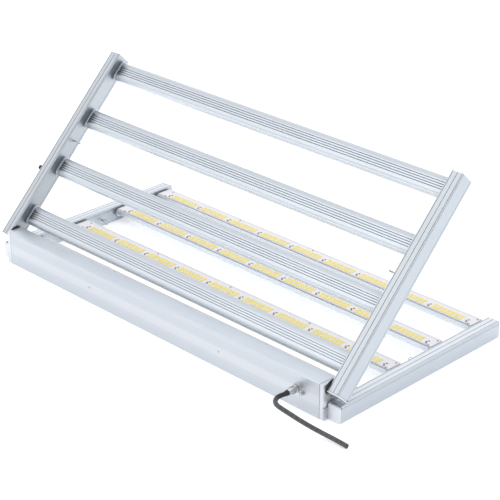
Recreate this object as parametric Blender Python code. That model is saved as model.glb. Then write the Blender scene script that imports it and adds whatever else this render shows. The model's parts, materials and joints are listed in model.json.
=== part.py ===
"""Folding LED grow light: two four-bar lamp wings hinged on a driver spine.

World frame: X runs along the spine, Y away from it along the lower wing, Z up.
The lower wing lies on the floor (Z = 0) with its lamps up. The upper wing is
held part open by the friction of its hinges. Each wing is built in its own
frame, with the hinge axis as X, Y along the rails and the lamps facing -Z.
"""

from math import cos, pi, radians, sin

import bmesh
import bpy
import numpy as np

# ---- Driving dimensions (metres) ----
LAMP_LENGTH = 1.100        # over the outer faces of the side rails
RAIL_LENGTH = 0.521
RAIL_WIDTH = 0.0315
RAIL_DEPTH = 0.040         # lamp face to back face
CLOSED_GAP = 0.0016        # between the two wings when shut
UPPER_WING_ANGLE = 45.4    # degrees open, as the object stands

GAP = 0.0003               # between pieces that touch
RUNNING_CLEARANCE = 0.00008
WALL = 0.0022              # aluminium extrusions
CUT_MARGIN = 0.004         # how far a cutter runs past the face it opens
HEX_SIDES = 6
SMALL_ROUND_SIDES = 20
ROUND_SIDES = 32
FINE_ROUND_SIDES = 48

# ---- Hinges ----
PIN_SETBACK = 0.0135       # hinge axis to the rail's end
PIN_TO_LAMP_FACE = 0.0256
PIN_RADIUS = 0.004
PIN_INNER_X = 0.5010
PIN_OUTER_X = 0.5380
PIN_HEAD_RADIUS = 0.0075
PIN_HEAD_LENGTH = 0.004
PIN_HOLE_RUNOUT = 0.0015   # hole beyond the pin's tip
NOSE_RADIUS = 0.0260       # the swinging corner's reach
UPPER_WASHER_RADIUS = 0.020
SPACER_HEIGHT = 0.0280
SPACER_MARGIN = 0.0005
SPACER_HOLE = (-0.0045, 0.0235, 0.0016)  # Y, Z and radius of the empty screw hole

# ---- Spine ----
SPINE_FRONT = -0.013
SPINE_BACK = 0.029
SPINE_HEIGHT = 2 * RAIL_DEPTH + CLOSED_GAP
SPINE_HALF_LENGTH = 0.5155
END_CAP_LENGTH = 0.009
SPINE_CORNER = 0.002

# ---- Derived places ----
RAIL_OUTER_X = LAMP_LENGTH / 2
RAIL_INNER_X = RAIL_OUTER_X - RAIL_WIDTH
RAIL_CENTRE_X = (RAIL_OUTER_X + RAIL_INNER_X) / 2
UPPER_PIN_Z = RAIL_DEPTH + CLOSED_GAP + PIN_TO_LAMP_FACE
LOWER_PIN_Z = RAIL_DEPTH - PIN_TO_LAMP_FACE
HINGE_Y = PIN_SETBACK
LAMP_FACE_Z = -PIN_TO_LAMP_FACE
BACK_FACE_Z = LAMP_FACE_Z + RAIL_DEPTH
RAIL_START_Y = -PIN_SETBACK
RAIL_END_Y = RAIL_START_Y + RAIL_LENGTH

# ---- Rails ----
RAIL_CAP_THICKNESS = 0.0032
PLUG_END_Y = 0.016
GROOVE_WIDTH = 0.0013
GROOVE_DEPTH = 0.0010
GROOVE_OFFSET = 0.0119
SEAM_DEPTH = 0.0062        # lid seam in the rail's sides, below the lamp face
SEAM_WIDTH = 0.0009
RAIL_EDGE_RADIUS = 0.0012

# ---- Lamp bars ----
BAR_COUNT = 4
BAR_PITCH = 0.138
FIRST_BAR_OFFSET = 0.0733  # rail end to the first bar's centre
BAR_WIDTH = 0.048
BAR_THICKNESS = 0.018
BAR_RECESS = 0.0045        # lamp face of the rail to the board's face
BAR_FLAT_WIDTH = 0.027
BAR_EDGE_HEIGHT = 0.0055
BAR_HALF_LENGTH = 0.5090
FIN_GROOVE_COUNT = 4
FIN_GROOVE_PITCH = 0.0054
FIN_GROOVE_WIDTH = 0.0018
FIN_GROOVE_DEPTH = 0.0060
HEATSINK_WALL = 0.0017
BOARD_WIDTH = 0.040
BOARD_THICKNESS = 0.0016
BOARD_HALF_LENGTH = 0.5120
BRACKET_NECK_WIDTH = 0.045
BRACKET_NECK_RADIUS = 0.006
BRACKET_FLANGE_WIDTH = 0.052
BRACKET_FLANGE_RADIUS = 0.009
BRACKET_FLANGE_LENGTH = 0.003
BRACKET_DEPTH = 0.0185     # board side to back
BRACKET_STEP = 0.001       # flange's back above the neck's

# ---- Hanging eyes ----
EYE_RING_RADIUS = 0.0064
EYE_WIRE_RADIUS = 0.0012
EYE_RING_X = 0.5000
EYE_STEM_RADIUS = 0.0020
EYE_STEM_REACH = 0.005     # stem beyond the rail's wall
EYE_RING_STEPS = 24
EYE_WIRE_STEPS = 8
EYE_OFFSET = 0.280         # from the rail's hinge end
EYE_DEPTH = 0.022          # below the rail's lamp face

# ---- Gland, cord and driver ----
GLAND_X = 0.445
GLAND_Z = 0.0485
GLAND_HEX_RADIUS = 0.0098
GLAND_HEX_LENGTH = 0.005
GLAND_NUT_RADIUS = 0.0086
GLAND_TIP_RADIUS = 0.0064
GLAND_LENGTH = 0.028
THREAD_REACH = 0.004       # gland's thread behind the spine's wall
PORT_THREAD_REACH = 0.002
PORT_OFFSET_X = 0.0145
PORT_Z = 0.0410
PORT_RADIUS = 0.0040
PORT_LENGTH = 0.0075
PORT_SIDES = 24
CORD_RADIUS = 0.0050
CORD_POINT_SPACING = 0.012
CORD_BEVEL_RESOLUTION = 3
CORD_ROUTE = (
    (0.4450, -0.0416, 0.0485),
    (0.4450, -0.0490, 0.0485),
    (0.4431, -0.0594, 0.0484),
    (0.4457, -0.0754, 0.0483),
    (0.4591, -0.0891, 0.0481),
    (0.4835, -0.0917, 0.0453),
    (0.5139, -0.0760, 0.0274),
    (0.5378, -0.0654, 0.0165),
    (0.5664, -0.0588, 0.0104),
    (0.5960, -0.0557, 0.0075),
    (0.6205, -0.0543, 0.0053),
)
DRIVER_SIZE = (0.300, 0.033, 0.030)
DRIVER_CENTRE = (0.180, 0.008, 0.0408)
PLUG_RADIUS = 0.0055
PLUG_HEIGHT = 0.009
PLUG_SHANK_REACH = 0.003   # shank beyond the rail's wall
PLUG_DOME_STEPS = 6
PLUG_SIDES = 24
PLUG_OFFSET = 0.185        # from the rail's hinge end
PLUG_DEPTH = 0.033         # below the rail's lamp face
EYE_Y = RAIL_START_Y + EYE_OFFSET
EYE_Z = LAMP_FACE_Z + EYE_DEPTH
PLUG_Y = RAIL_START_Y + PLUG_OFFSET
PLUG_Z = LAMP_FACE_Z + PLUG_DEPTH

MATERIALS = {
    "anodised_aluminium": ((0.72, 0.75, 0.78), 0.35, 1.0),
    "machined_end": ((0.66, 0.69, 0.72), 0.40, 1.0),
    "zinc_plated_steel": ((0.55, 0.56, 0.58), 0.30, 1.0),
    "nickel_plated_brass": ((0.62, 0.60, 0.56), 0.28, 1.0),
    "white_board": ((0.90, 0.90, 0.92), 0.45, 0.0),
    "black_nylon": ((0.030, 0.032, 0.036), 0.50, 0.0),
    "cord_jacket": ((0.050, 0.050, 0.055), 0.60, 0.0),
    "driver_case": ((0.80, 0.80, 0.81), 0.50, 0.0),
}


def clear_scene():
    """Remove every object that the file starts with."""
    for old in list(bpy.data.objects):
        bpy.data.objects.remove(old, do_unlink=True)


def make_material(name):
    """A Principled material from the table above."""
    colour, roughness, metallic = MATERIALS[name]
    material = bpy.data.materials.new(name)
    material.use_nodes = True
    shader = material.node_tree.nodes["Principled BSDF"]
    shader.inputs["Base Color"].default_value = (*colour, 1.0)
    shader.inputs["Roughness"].default_value = roughness
    shader.inputs["Metallic"].default_value = metallic
    return material


def add_empty(name, location, rotation):
    """A parent frame on a hinge axis."""
    empty = bpy.data.objects.new(name, None)
    empty.location = location
    empty.rotation_euler = rotation
    bpy.context.collection.objects.link(empty)
    return empty


def add_object(name, bm, material_name, parent=None):
    """Turn a bmesh into a named object with outward faces and crisp edges."""
    bmesh.ops.recalc_face_normals(bm, faces=bm.faces)
    mesh = bpy.data.meshes.new(name)
    bm.to_mesh(mesh)
    bm.free()
    mesh.shade_smooth()
    mesh.set_sharp_from_angle(angle=radians(30))
    item = bpy.data.objects.new(name, mesh)
    bpy.context.collection.objects.link(item)
    item.parent = parent
    if material_name:
        item.data.materials.append(materials[material_name])
    return item


def prism(bm, outline, start, end, axis):
    """Extrude a closed outline along X or Y; outline points are (across, Z)."""
    def place(across, height, along):
        return (along, across, height) if axis == "X" else (across, along, height)

    bottom = [bm.verts.new(place(a, h, start)) for a, h in outline]
    top = [bm.verts.new(place(a, h, end)) for a, h in outline]
    bm.faces.new(bottom)
    bm.faces.new(top)
    count = len(outline)
    for i in range(count):
        j = (i + 1) % count
        bm.faces.new((bottom[i], bottom[j], top[j], top[i]))


def box(bm, low, high):
    """An upright box between two corners."""
    corners = [(low[0], low[2]), (high[0], low[2]), (high[0], high[2]), (low[0], high[2])]
    prism(bm, corners, low[1], high[1], "Y")


def cylinder(bm, radius, start, end, axis, centre, sides=ROUND_SIDES, end_radius=None):
    """A cylinder or cone frustum along X or Y from start to end, about centre."""
    far_radius = radius if end_radius is None else end_radius
    rings = []
    for along, r in ((start, radius), (end, far_radius)):
        ring = []
        for i in range(sides):
            angle = 2 * pi * i / sides
            across = centre[0] + r * cos(angle)
            height = centre[1] + r * sin(angle)
            point = (along, across, height) if axis == "X" else (across, along, height)
            ring.append(bm.verts.new(point))
        rings.append(ring)
        bm.faces.new(ring)
    for i in range(sides):
        j = (i + 1) % sides
        bm.faces.new((rings[0][i], rings[0][j], rings[1][j], rings[1][i]))


def rounded_rectangle(across_low, across_high, low, high, radius, steps=5):
    """Outline of a rectangle with quarter-round corners."""
    corners = (
        (across_high - radius, high - radius, 0),
        (across_low + radius, high - radius, 90),
        (across_low + radius, low + radius, 180),
        (across_high - radius, low + radius, 270),
    )
    points = []
    for across, height, first in corners:
        for i in range(steps + 1):
            angle = radians(first + 90 * i / steps)
            points.append((across + radius * cos(angle), height + radius * sin(angle)))
    return points


def cut(item, name, bm, operation="DIFFERENCE"):
    """Cut or join a hidden helper solid on an object."""
    helper = add_object(name, bm, None, item.parent)
    helper.hide_render = True
    helper.display_type = "WIRE"
    modifier = item.modifiers.new(name, "BOOLEAN")
    modifier.operation = operation
    modifier.object = helper


# ---- Wings ----

def rail_outline():
    """Rail section: three fine grooves in each face and a lid seam in each side."""
    half = RAIL_WIDTH / 2
    chamfer = RAIL_EDGE_RADIUS
    low, high = LAMP_FACE_Z, BACK_FACE_Z
    grooves = [
        (centre + side * GROOVE_WIDTH / 2, depth)
        for centre in (-GROOVE_OFFSET, 0, GROOVE_OFFSET)
        for side, depth in ((-1, 0), (-1, GROOVE_DEPTH), (1, GROOVE_DEPTH), (1, 0))
    ]
    seam = [
        (low + SEAM_DEPTH + side * SEAM_WIDTH / 2, depth)
        for side, depth in ((-1, 0), (-1, SEAM_WIDTH), (1, SEAM_WIDTH), (1, 0))
    ]
    points = [(-half + chamfer, low)]
    points += [(across, low + depth) for across, depth in grooves]
    points += [(half - chamfer, low), (half, low + chamfer)]
    points += [(half - depth, height) for height, depth in seam]
    points += [(half, high - chamfer), (half - chamfer, high)]
    points += [(across, high - depth) for across, depth in reversed(grooves)]
    points += [(-half + chamfer, high), (-half, high - chamfer)]
    points += [(-half + depth, height) for height, depth in reversed(seam)]
    points += [(-half, low + chamfer)]
    return points


def nose_cutter():
    """Wedge that takes the swinging corner back inside the nose radius."""
    flat_reach = (NOSE_RADIUS ** 2 - PIN_TO_LAMP_FACE ** 2) ** 0.5
    end_reach = (NOSE_RADIUS ** 2 - PIN_SETBACK ** 2) ** 0.5
    edge_y = -flat_reach
    edge_z = -end_reach
    slope = (edge_z - LAMP_FACE_Z) / (edge_y - RAIL_START_Y)
    bm = bmesh.new()
    outline = [
        (edge_y + CUT_MARGIN, LAMP_FACE_Z - CUT_MARGIN * slope),
        (RAIL_START_Y - CUT_MARGIN, edge_z + CUT_MARGIN * slope),
        (RAIL_START_Y - CUT_MARGIN, LAMP_FACE_Z - CUT_MARGIN * slope),
    ]
    prism(bm, outline, -RAIL_WIDTH, RAIL_WIDTH, "X")
    return bm


def side_shift(side):
    """Centre of the rail on one side, across the lamp."""
    return side * RAIL_CENTRE_X


def shift(bm, distance):
    """Move a bmesh along X."""
    bmesh.ops.translate(bm, verts=bm.verts, vec=(distance, 0, 0))
    return bm


def hinge_pin_hole(side):
    """Cutter for the pin's way through a rail's inner wall and its plug."""
    bm = bmesh.new()
    inner, outer = RAIL_INNER_X - CUT_MARGIN, PIN_OUTER_X + PIN_HOLE_RUNOUT
    cylinder(bm, PIN_RADIUS + RUNNING_CLEARANCE, side * inner, side * outer, "X", (0, 0))
    return bm


def add_rail(name, side, wing):
    """Hollow side rail: open at the hinge end, closed at the free end."""
    centre = side_shift(side)
    start = RAIL_START_Y + RAIL_CAP_THICKNESS + GAP
    bm = bmesh.new()
    prism(bm, rail_outline(), start, RAIL_END_Y, "Y")
    rail = add_object(name, shift(bm, centre), "anodised_aluminium", wing)
    hollow = bmesh.new()
    half = RAIL_WIDTH / 2 - WALL
    box(hollow, (centre - half, start - CUT_MARGIN, LAMP_FACE_Z + WALL),
        (centre + half, RAIL_END_Y - WALL, BACK_FACE_Z - WALL))
    cut(rail, name + "_hollow", hollow)
    cut(rail, name + "_nose", shift(nose_cutter(), centre))
    cut(rail, name + "_pin_hole", hinge_pin_hole(side))
    stem_hole = bmesh.new()
    cylinder(stem_hole, EYE_STEM_RADIUS + GAP, side * (RAIL_INNER_X - CUT_MARGIN),
             side * (RAIL_INNER_X + WALL + CUT_MARGIN), "X", (EYE_Y, EYE_Z), SMALL_ROUND_SIDES)
    cut(rail, name + "_eye_hole", stem_hole)


def add_hinge_cap(name, side, wing):
    """End cap whose plug fills the rail's end and carries the hinge pin."""
    centre = side_shift(side)
    half = RAIL_WIDTH / 2
    chamfer = RAIL_EDGE_RADIUS
    bm = bmesh.new()
    outline = rounded_rectangle(centre - half, centre + half, LAMP_FACE_Z, BACK_FACE_Z, chamfer, 2)
    prism(bm, outline, RAIL_START_Y, RAIL_START_Y + RAIL_CAP_THICKNESS, "Y")
    cap = add_object(name, bm, "machined_end", wing)
    plug = bmesh.new()
    inset = WALL + GAP
    box(plug, (centre - half + inset, RAIL_START_Y + RAIL_CAP_THICKNESS / 2, LAMP_FACE_Z + inset),
        (centre + half - inset, PLUG_END_Y, BACK_FACE_Z - inset))
    cut(cap, name + "_plug", plug, "UNION")
    cut(cap, name + "_nose", shift(nose_cutter(), centre))
    cut(cap, name + "_pin_hole", hinge_pin_hole(side))


def heatsink_outline(centre):
    """Bar section: flat lamp side, rounded shoulders and grooves between fins."""
    low = LAMP_FACE_Z + BAR_RECESS + BOARD_THICKNESS + GAP
    high = LAMP_FACE_Z + BAR_RECESS + BAR_THICKNESS
    half, flat = BAR_WIDTH / 2, BAR_FLAT_WIDTH / 2
    shoulder = low + BAR_EDGE_HEIGHT
    points = [(centre - half, low), (centre + half, low)]
    right = []
    steps = 6
    for i in range(steps + 1):
        angle = radians(90 * i / steps)
        right.append((flat + (half - flat) * cos(angle), shoulder + (high - shoulder) * sin(angle)))
    points += [(centre + across, height) for across, height in right]
    first = FIN_GROOVE_PITCH * (FIN_GROOVE_COUNT - 1) / 2
    for k in range(FIN_GROOVE_COUNT):
        groove = centre + first - k * FIN_GROOVE_PITCH
        for step, depth in ((1, 0), (1, FIN_GROOVE_DEPTH), (-1, FIN_GROOVE_DEPTH), (-1, 0)):
            points.append((groove + step * FIN_GROOVE_WIDTH / 2, high - depth))
    points += [(centre - across, height) for across, height in reversed(right)]
    return points


def bar_centre(index):
    """Place of a bar along the rails."""
    return RAIL_START_Y + FIRST_BAR_OFFSET + index * BAR_PITCH


def add_bar(prefix, index, wing):
    """One lamp bar: heatsink, board and the two end brackets."""
    centre = bar_centre(index)
    tag = "%s_bar_%d" % (prefix, index + 1)
    bm = bmesh.new()
    length = BAR_HALF_LENGTH - GAP
    prism(bm, heatsink_outline(centre), -length, length, "X")
    heatsink = add_object(tag + "_heatsink", bm, "anodised_aluminium", wing)
    board_z = LAMP_FACE_Z + BAR_RECESS
    low = board_z + BOARD_THICKNESS + GAP + HEATSINK_WALL
    high = board_z + BAR_THICKNESS - FIN_GROOVE_DEPTH - HEATSINK_WALL
    half = BAR_WIDTH / 2 - HEATSINK_WALL
    bm = bmesh.new()
    box(bm, (-length - CUT_MARGIN, centre - half, low), (length + CUT_MARGIN, centre + half, high))
    cut(heatsink, tag + "_hollow", bm)

    bm = bmesh.new()
    box(bm, (-BOARD_HALF_LENGTH, centre - BOARD_WIDTH / 2, board_z),
        (BOARD_HALF_LENGTH, centre + BOARD_WIDTH / 2, board_z + BOARD_THICKNESS))
    add_object(tag + "_led_board", bm, "white_board", wing)

    for side, label in ((-1, "a"), (1, "b")):
        add_bracket("%s_bracket_%s" % (tag, label), centre, side, wing)


def add_bracket(name, centre, side, wing):
    """Cast bracket between a bar and a rail: a neck and a rounded flange."""
    low = LAMP_FACE_Z + BAR_RECESS + BOARD_THICKNESS + GAP
    high = low + BRACKET_DEPTH
    neck = BRACKET_NECK_WIDTH / 2
    flange = BRACKET_FLANGE_WIDTH / 2
    inner, outer = BAR_HALF_LENGTH, RAIL_INNER_X - GAP
    bm = bmesh.new()
    outline = rounded_rectangle(centre - neck, centre + neck, low, high - BRACKET_STEP, BRACKET_NECK_RADIUS)
    prism(bm, outline, side * (inner + BRACKET_FLANGE_LENGTH / 2), side * outer, "X")
    bracket = add_object(name, bm, "machined_end", wing)
    bm = bmesh.new()
    outline = rounded_rectangle(centre - flange, centre + flange, low, high, BRACKET_FLANGE_RADIUS)
    prism(bm, outline, side * inner, side * (inner + BRACKET_FLANGE_LENGTH), "X")
    cut(bracket, name + "_flange", bm, "UNION")


def add_eye(name, side, wing):
    """Screw eye on a rail's inner face, for a hanging wire."""
    bm = bmesh.new()
    rings = []
    for i in range(EYE_RING_STEPS):
        turn = 2 * pi * i / EYE_RING_STEPS
        ring = []
        for j in range(EYE_WIRE_STEPS):
            angle = 2 * pi * j / EYE_WIRE_STEPS
            reach = EYE_RING_RADIUS + EYE_WIRE_RADIUS * cos(angle)
            x = side * EYE_RING_X + reach * cos(turn)
            z = EYE_Z + reach * sin(turn)
            ring.append(bm.verts.new((x, EYE_Y + EYE_WIRE_RADIUS * sin(angle), z)))
        rings.append(ring)
    for i in range(EYE_RING_STEPS):
        following = rings[(i + 1) % EYE_RING_STEPS]
        for j in range(EYE_WIRE_STEPS):
            k = (j + 1) % EYE_WIRE_STEPS
            bm.faces.new((rings[i][j], following[j], following[k], rings[i][k]))
    eye = add_object(name, bm, "zinc_plated_steel", wing)
    stem = bmesh.new()
    cylinder(stem, EYE_STEM_RADIUS, side * (EYE_RING_X + EYE_RING_RADIUS - EYE_WIRE_RADIUS / 2),
             side * (RAIL_INNER_X + WALL + EYE_STEM_REACH), "X", (EYE_Y, EYE_Z), SMALL_ROUND_SIDES)
    cut(eye, name + "_stem", stem, "UNION")


def add_side_plug(wing):
    """Domed nylon plug that closes a hole in the upper left rail's outer wall."""
    bm = bmesh.new()
    rings = []
    for i in range(PLUG_DOME_STEPS):
        angle = radians(90 * i / PLUG_DOME_STEPS)
        x = -(RAIL_OUTER_X + GAP + PLUG_HEIGHT * sin(angle))
        r = PLUG_RADIUS * cos(angle)
        rings.append([
            bm.verts.new((x, PLUG_Y + r * cos(turn), PLUG_Z + r * sin(turn)))
            for turn in (2 * pi * j / PLUG_SIDES for j in range(PLUG_SIDES))
        ])
    for near, far in zip(rings, rings[1:]):
        for j in range(PLUG_SIDES):
            k = (j + 1) % PLUG_SIDES
            bm.faces.new((near[j], near[k], far[k], far[j]))
    bm.faces.new(rings[0])
    bm.faces.new(rings[-1])
    plug = add_object("upper_left_side_plug", bm, "black_nylon", wing)
    shank = bmesh.new()
    inner = -(RAIL_OUTER_X - WALL - PLUG_SHANK_REACH)
    cylinder(shank, PLUG_RADIUS / 2, -(RAIL_OUTER_X + PLUG_HEIGHT / 2), inner, "X",
             (PLUG_Y, PLUG_Z), SMALL_ROUND_SIDES)
    cut(plug, "side_plug_shank", shank, "UNION")
    hole = bmesh.new()
    cylinder(hole, PLUG_RADIUS / 2 + GAP, -(RAIL_OUTER_X + PLUG_HEIGHT), inner, "X",
             (PLUG_Y, PLUG_Z), SMALL_ROUND_SIDES)
    cut(bpy.data.objects["upper_left_rail"], "side_plug_hole", hole)


def add_wing(prefix, wing, side_names):
    """Rails, hinge caps, bars and eyes of one wing."""
    for side, side_name in zip((-1, 1), side_names):
        tag = "%s_%s" % (prefix, side_name)
        add_rail(tag + "_rail", side, wing)
        add_hinge_cap(tag + "_hinge_cap", side, wing)
        add_eye(tag + "_hanging_eye", side, wing)
    for index in range(BAR_COUNT):
        add_bar(prefix, index, wing)


# ---- Spine ----

def add_spine_housing():
    """Hollow rectangular housing for the driver."""
    half = SPINE_HALF_LENGTH - END_CAP_LENGTH - GAP
    bm = bmesh.new()
    outline = rounded_rectangle(SPINE_FRONT, SPINE_BACK, 0, SPINE_HEIGHT, SPINE_CORNER, 3)
    prism(bm, outline, -half, half, "X")
    housing = add_object("spine_housing", bm, "anodised_aluminium")
    hollow = bmesh.new()
    box(hollow, (-half - CUT_MARGIN, SPINE_FRONT + WALL, WALL),
        (half + CUT_MARGIN, SPINE_BACK - WALL, SPINE_HEIGHT - WALL))
    cut(housing, "spine_hollow", hollow)
    for name, x, z, radius in (
        ("gland_hole", GLAND_X, GLAND_Z, GLAND_TIP_RADIUS),
        ("port_hole", GLAND_X + PORT_OFFSET_X, PORT_Z, PORT_RADIUS / 2),
    ):
        bm = bmesh.new()
        cylinder(bm, radius + GAP, SPINE_FRONT - CUT_MARGIN, SPINE_FRONT + WALL + CUT_MARGIN, "Y", (x, z))
        cut(housing, name, bm)


def add_spine_end_caps():
    """Cast end caps that carry the hinge pins."""
    outline = rounded_rectangle(SPINE_FRONT, SPINE_BACK, 0, SPINE_HEIGHT, SPINE_CORNER, 3)
    for side, side_name in ((-1, "left"), (1, "right")):
        name = "spine_%s_end_cap" % side_name
        inner, outer = SPINE_HALF_LENGTH - END_CAP_LENGTH, SPINE_HALF_LENGTH
        bm = bmesh.new()
        prism(bm, outline, side * inner, side * outer, "X")
        cap = add_object(name, bm, "machined_end")
        for level, z in (("upper", UPPER_PIN_Z), ("lower", LOWER_PIN_Z)):
            bm = bmesh.new()
            cylinder(bm, PIN_RADIUS + GAP, side * (inner - CUT_MARGIN), side * (outer + CUT_MARGIN),
                     "X", (HINGE_Y, z))
            cut(cap, "%s_%s_hole" % (name, level), bm)


def add_hinge_pin(tag, side, axis):
    """Shoulder pin with a hexagonal head inside the end cap."""
    inner = SPINE_HALF_LENGTH - END_CAP_LENGTH - GAP
    bm = bmesh.new()
    cylinder(bm, PIN_RADIUS, side * PIN_INNER_X, side * PIN_OUTER_X, "X", axis)
    pin = add_object(tag + "_pin", bm, "zinc_plated_steel")
    bm = bmesh.new()
    cylinder(bm, PIN_HEAD_RADIUS, side * (inner - PIN_HEAD_LENGTH), side * inner, "X", axis,
             HEX_SIDES)
    cut(pin, tag + "_pin_head", bm, "UNION")


def cut_through_side_gap(item, name, side, axis, radius):
    """Hole through a piece that lies between the spine's end and a rail."""
    bm = bmesh.new()
    start, end = SPINE_HALF_LENGTH - CUT_MARGIN, RAIL_INNER_X + CUT_MARGIN
    cylinder(bm, radius, side * start, side * end, "X", axis)
    cut(item, name, bm)


def add_hinge_hardware():
    """Pins, round friction washers above and flat spacer plates below."""
    for side, side_name in ((-1, "left"), (1, "right")):
        near, far = side * (SPINE_HALF_LENGTH + GAP), side * (RAIL_INNER_X - GAP)
        tag = "upper_%s_hinge" % side_name
        axis = (HINGE_Y, UPPER_PIN_Z)
        add_hinge_pin(tag, side, axis)
        bm = bmesh.new()
        cylinder(bm, UPPER_WASHER_RADIUS, near, far, "X", axis, FINE_ROUND_SIDES)
        washer = add_object(tag + "_washer", bm, "black_nylon")
        cut_through_side_gap(washer, tag + "_washer_hole", side, axis, PIN_RADIUS + GAP)

        tag = "lower_%s_hinge" % side_name
        axis = (HINGE_Y, LOWER_PIN_Z)
        add_hinge_pin(tag, side, axis)
        bm = bmesh.new()
        outline = rounded_rectangle(SPINE_FRONT + SPACER_MARGIN, SPINE_BACK - SPACER_MARGIN,
                                    SPACER_MARGIN, SPACER_HEIGHT, SPINE_CORNER, 3)
        prism(bm, outline, near, far, "X")
        spacer = add_object(tag + "_spacer", bm, "zinc_plated_steel")
        cut_through_side_gap(spacer, tag + "_spacer_hole", side, axis, PIN_RADIUS + GAP)
        hole_y, hole_z, hole_radius = SPACER_HOLE
        cut_through_side_gap(spacer, tag + "_screw_hole", side, (hole_y, hole_z), hole_radius)


def add_driver():
    """Driver module inside the housing."""
    low = [c - s / 2 for c, s in zip(DRIVER_CENTRE, DRIVER_SIZE)]
    high = [c + s / 2 for c, s in zip(DRIVER_CENTRE, DRIVER_SIZE)]
    bm = bmesh.new()
    box(bm, low, high)
    add_object("led_driver", bm, "driver_case")


def add_gland_and_port():
    """Cable gland for the cord, and the small metal port beside it."""
    face = SPINE_FRONT - GAP
    place = (GLAND_X, GLAND_Z)
    bm = bmesh.new()
    cylinder(bm, GLAND_HEX_RADIUS, face, face - GLAND_HEX_LENGTH, "Y", place, HEX_SIDES)
    gland = add_object("cable_gland", bm, "nickel_plated_brass")
    nut_start = face - GLAND_HEX_LENGTH / 2
    bm = bmesh.new()
    cylinder(bm, GLAND_NUT_RADIUS, nut_start, face - GLAND_LENGTH, "Y", place, ROUND_SIDES,
             GLAND_TIP_RADIUS)
    cut(gland, "gland_nut", bm, "UNION")
    bm = bmesh.new()
    cylinder(bm, GLAND_TIP_RADIUS, SPINE_FRONT + WALL + THREAD_REACH, nut_start, "Y", place)
    cut(gland, "gland_thread", bm, "UNION")

    place = (GLAND_X + PORT_OFFSET_X, PORT_Z)
    bm = bmesh.new()
    cylinder(bm, PORT_RADIUS, face, face - PORT_LENGTH, "Y", place, PORT_SIDES)
    port = add_object("dimmer_port", bm, "nickel_plated_brass")
    bm = bmesh.new()
    cylinder(bm, PORT_RADIUS / 2, SPINE_FRONT + WALL + PORT_THREAD_REACH, face - PORT_LENGTH / 2, "Y",
             place, PORT_SIDES)
    cut(port, "port_thread", bm, "UNION")


def smooth_route(points, spacing):
    """Points at an even spacing on the natural cubic spline through a route."""
    knots = np.array(points)
    steps = np.linalg.norm(np.diff(knots, axis=0), axis=1)
    along = np.concatenate(([0.0], np.cumsum(steps)))
    count = len(knots)
    system = np.eye(count)
    right = np.zeros((count, 3))
    for i in range(1, count - 1):
        before, after = steps[i - 1], steps[i]
        system[i, i - 1:i + 2] = before, 2 * (before + after), after
        slope_change = (knots[i + 1] - knots[i]) / after - (knots[i] - knots[i - 1]) / before
        right[i] = 6 * slope_change
    bend = np.linalg.solve(system, right)
    samples = []
    for s in np.linspace(0.0, along[-1], int(round(along[-1] / spacing)) + 1):
        i = min(int(np.searchsorted(along, s, side="right")) - 1, count - 2)
        h = steps[i]
        a, b = along[i + 1] - s, s - along[i]
        samples.append(
            bend[i] * a ** 3 / (6 * h) + bend[i + 1] * b ** 3 / (6 * h)
            + (knots[i] / h - bend[i] * h / 6) * a
            + (knots[i + 1] / h - bend[i + 1] * h / 6) * b
        )
    return samples


def add_cord():
    """Mains cord from the gland's tip down to the floor."""
    curve = bpy.data.curves.new("mains_cord", "CURVE")
    curve.dimensions = "3D"
    curve.bevel_depth = CORD_RADIUS
    curve.bevel_resolution = CORD_BEVEL_RESOLUTION
    curve.use_fill_caps = True
    curve.twist_mode = "MINIMUM"
    points = smooth_route(CORD_ROUTE, CORD_POINT_SPACING)
    spline = curve.splines.new("POLY")
    spline.points.add(len(points) - 1)
    for target, point in zip(spline.points, points):
        target.co = (*point, 1.0)
    curve.materials.append(materials["cord_jacket"])
    cord = bpy.data.objects.new("mains_cord", curve)
    bpy.context.collection.objects.link(cord)


clear_scene()
materials = {name: make_material(name) for name in MATERIALS}
upper_wing = add_empty("upper_wing_axis", (0, HINGE_Y, UPPER_PIN_Z), (radians(UPPER_WING_ANGLE), 0, 0))
lower_wing = add_empty("lower_wing_axis", (0, HINGE_Y, LOWER_PIN_Z), (0, pi, 0))
add_wing("upper", upper_wing, ("left", "right"))
add_wing("lower", lower_wing, ("right", "left"))
add_side_plug(upper_wing)
add_spine_housing()
add_spine_end_caps()
add_hinge_hardware()
add_driver()
add_gland_and_port()
add_cord()
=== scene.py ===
"""Looks of the folding LED grow light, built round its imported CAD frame.

X runs along the spine, Y away from it along the lower wing, Z up. Each wing has
its own frame: hinge axis as X, Y along the rails, lamps facing -Z. Lengths are
in metres.
"""
import json
from math import cos, floor, pi, radians, sin

import bmesh
import bpy
import numpy as np
from mathutils import Matrix, Vector


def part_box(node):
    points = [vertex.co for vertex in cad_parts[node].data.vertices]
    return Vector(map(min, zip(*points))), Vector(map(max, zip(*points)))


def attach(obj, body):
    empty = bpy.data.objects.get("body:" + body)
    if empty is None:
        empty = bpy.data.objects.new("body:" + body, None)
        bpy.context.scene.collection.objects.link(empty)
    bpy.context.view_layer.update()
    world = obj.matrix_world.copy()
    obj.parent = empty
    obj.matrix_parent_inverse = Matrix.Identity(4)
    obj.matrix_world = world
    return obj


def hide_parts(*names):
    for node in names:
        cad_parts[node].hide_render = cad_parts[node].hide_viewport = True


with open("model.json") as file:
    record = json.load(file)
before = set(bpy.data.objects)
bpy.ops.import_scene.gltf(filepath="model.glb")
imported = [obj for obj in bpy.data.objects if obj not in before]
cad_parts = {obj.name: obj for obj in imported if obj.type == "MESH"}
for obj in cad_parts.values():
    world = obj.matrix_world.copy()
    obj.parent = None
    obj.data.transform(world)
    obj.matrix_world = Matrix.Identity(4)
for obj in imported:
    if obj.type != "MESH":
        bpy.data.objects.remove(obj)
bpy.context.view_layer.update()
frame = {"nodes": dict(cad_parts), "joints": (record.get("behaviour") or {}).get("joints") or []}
nodes = frame["nodes"]
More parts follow.
